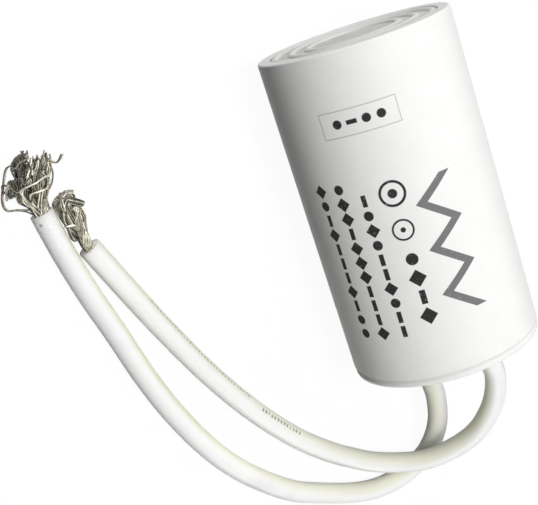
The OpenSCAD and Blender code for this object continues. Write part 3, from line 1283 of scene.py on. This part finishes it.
UPPER_TUFTS = (
    Tuft(
        34, (0.75, 0.8, 0.9, 1.05, 1.1, 1.1, 0.9), 110, BRUSH,
        (
            (1, 0, 0.15), (2, -0.2, 0.25), (3.3, -0.25, 0.35), (4.9, -0.35, 0.4), (6.7, -0.6, 0.5),
            (8, -0.9, 0.6), (8.4, -1.6, 0.8), (7.9, -2.2, 0.9), (7.3, -2.4, 1), (6.6, -2, 1),
        ),
        fray=0.12, root=(0.1, 0.0),
    ),
    Tuft(
        26, (0.75, 0.85, 0.95, 1.0, 0.7, 0.55), 120, (Tone.PLAIN, Tone.BRIGHT, Tone.PLAIN, Tone.DULL),
        (
            (0.8, 0, 0.1), (1.7, -0.3, 0.2), (2.6, -0.7, 0.4), (3.4, -1.2, 0.5), (4.3, -1.6, 0.7),
            (5.2, -1.7, 0.9), (5.8, -1.8, 0.9), (6.2, -1.4, 0.8),
        ),
        fray=0.1, shortfall=0.1, root=(0.0, 0.1),
    ),
    Tuft(
        16, (0.5, 0.5, 0.55, 0.55, 0.5, 0.4, 0.4), 260, (Tone.PLAIN, Tone.DULL, Tone.BRIGHT, Tone.DULL),
        (
            (0.9, 0, 0.2), (1.9, -0.2, 0.4), (3.5, 0, 0.6), (5.2, 0.1, 0.8), (6.4, -0.4, 1),
            (7.3, -1.2, 1.2), (7.7, -1.8, 1.4), (7.1, -2.1, 1.4), (6.2, -2.6, 1.3), (5.4, -3, 1.1),
            (5.6, -2.5, 0.9), (6.2, -1.9, 0.8), (6, -1, 1), (5.3, -0.4, 1.1),
        ),
        fray=0.1, root=(0.0, 0.2),
    ),
    Tuft(
        9, (0.4, 0.45, 0.45, 0.4), 150, PALE,
        (
            (0.8, 0.1, 0.5), (2, 0.1, 0.9), (3.3, -0.1, 1.2), (4.4, -0.8, 1.4), (5, -1.5, 1.5),
            (5.3, -1.9, 1.4),
        ),
        root=(0.1, 0.3), start=(0, 0, 0.2),
    ),
    Tuft(
        4, (0.25, 0.2, 0.15, 0.2), 120, (Tone.BLUISH, Tone.PLAIN),
        (
            (1, 0.3, 0.2), (2, 0.4, 0.4), (2.4, 1, 0.5), (3.2, 1.2, 0.7), (4.3, 0.8, 0.8),
            (5.1, 0.5, 0.7), (6, 0.4, 0.6), (7, 0.1, 0.5), (7.4, -0.3, 0.5),
        ),
        fray=0.1, root=(0.2, 0.0),
    ),
    Tuft(
        3, (0.25, 0.2, 0.2), 0, (Tone.PLAIN, Tone.BRIGHT, Tone.PLAIN),
        ((1.7, 0.2, 0.6), (3, 0.2, 1.2), (4.1, 0, 1.4), (4.6, 0.4, 1.2), (5, 1, 0.9)),
        fray=0.05, shortfall=0.05, root=(0.2, 0.2),
    ),
    Tuft(
        18, (0.5, 0.7, 0.9, 0.8), 160, (Tone.DULL, Tone.PLAIN, Tone.DULL),
        ((1.2, 0, 0), (2.6, -0.3, 0.1), (4, -0.8, 0.2), (5, -1.2, 0.3), (6, -1.6, 0.4), (6.9, -1.9, 0.5)),
        fray=0.2, curl=0.1, root=(0.0, -0.1),
    ),
    Tuft(
        26, (0.7, 0.75, 0.7, 0.5), 160, PALE,
        ((0.7, 0.1, 0.6), (1.6, 0, 0.9), (2.5, -0.2, 1.1), (3.4, -0.5, 1.3), (4.3, -1, 1.4)),
        shortfall=0.45, root=(0.1, 0.3),
    ),
)
GREY_INK = (0.19, 0.185, 0.185)
DARK_INK = (0.035, 0.034, 0.033)
PALE_INK = (0.5, 0.5, 0.5)
PRINTS = (
    Zigzag(GREY_INK, -0.0160, -0.0062, length=0.0210, swing=0.0023, pitch=0.0070, stroke=0.0011),
    Ring(DARK_INK, 0.0042, -0.0121, radius=0.0018, stroke=0.0004, dot=0.0007),
    Ring(DARK_INK, -0.0014, -0.0121, radius=0.0015, stroke=0.0003, dot=0.0004),
    MarkRow(DARK_INK, -0.0165, -0.0121, count=4, pitch=0.0030, size=0.0022),
    MarkRow(DARK_INK, -0.0178, -0.0164, count=10, pitch=0.0023, size=0.0018),
    MarkRow(DARK_INK, -0.0178, -0.0199, count=11, pitch=0.0023, size=0.0018),
    MarkRow(DARK_INK, -0.0178, -0.0234, count=11, pitch=0.0023, size=0.0018),
    MarkRow(DARK_INK, 0.0158, -0.0180, count=4, pitch=0.0022, size=0.0016, across=True),
    Box(PALE_INK, 0.0158, -0.0136, half_length=0.0019, half_width=0.0058, stroke=0.00014),
)


def lay_leads() -> None:
    """Makes both leads with their bare strands, and says what each cord is."""
    insulation = Insulation(
        "lead_insulation",
        colour=(0.875, 0.87, 0.86),
        shaded_yellow=(0.76, 0.77, 0.59),
        smudge_and_shade_grey=(0.52, 0.51, 0.54),
        bend_middle=(-0.009, -0.027, 0.015),
        bend_spread=(1.0, 0.55, 0.9),
        nick=(-0.0529, 0.0168, 0.0027),
        marks=(
            MarkLine(
                (-0.0235, -0.0301, 0.0017), (-0.59, 0.81, 0.0), 0.009, turn=-0.38, width=0.15, strength=0.75
            ),
            MarkLine(
                (-0.031, -0.021, 0.0017), (-0.46, 0.89, 0.0), 0.024, turn=-0.62, width=0.1, strength=0.45
            ),
        ),
    ).build()
    wires = {tone: TinnedWire(tone).build() for tone in Tone}
    ends = (
        BareStrands("lower_lead_strands", "lead_a_strands", LOWER_LEAD, LOWER_TUFTS, seed=3),
        BareStrands("upper_lead_strands", "lead_b_strands", UPPER_LEAD, UPPER_TUFTS, seed=8),
    )
    for strands in ends:
        lead = strands.lead
        cord = lead.build(insulation)
        bare_wires = strands.build(wires)
        2 * lead.radius


def main() -> None:
    """Builds the capacitor in its studio."""
    logging.basicConfig(level=logging.INFO, format="%(name)s: %(message)s")
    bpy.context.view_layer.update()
    studio = Studio()
    studio.camera()
    lay_leads()
    white = (0.88, 0.878, 0.87)
    off_white = (0.86, 0.857, 0.845)
    can = Can()
    axis_height, radius = can.axis_height * MM, can.radius * MM
    moulded = PrintedPlastic(
        "case_plastic",
        white,
        off_white,
        axis_height,
        radius,
        PRINTS,
        recess_top=can.closed_at * MM,
        recess_floor=(can.closed_at - can.recess) * MM,
    )
    can.build(moulded.build())
    EndCover().build(PrintedPlastic("cover_plastic", white, off_white, axis_height, radius).build())
    Innards(axis_height).dress()
    studio.lights()
    studio.world()
    studio.floor()
    bpy.context.scene.view_settings.view_transform = "Standard"


if __name__ == "__main__":
    main()
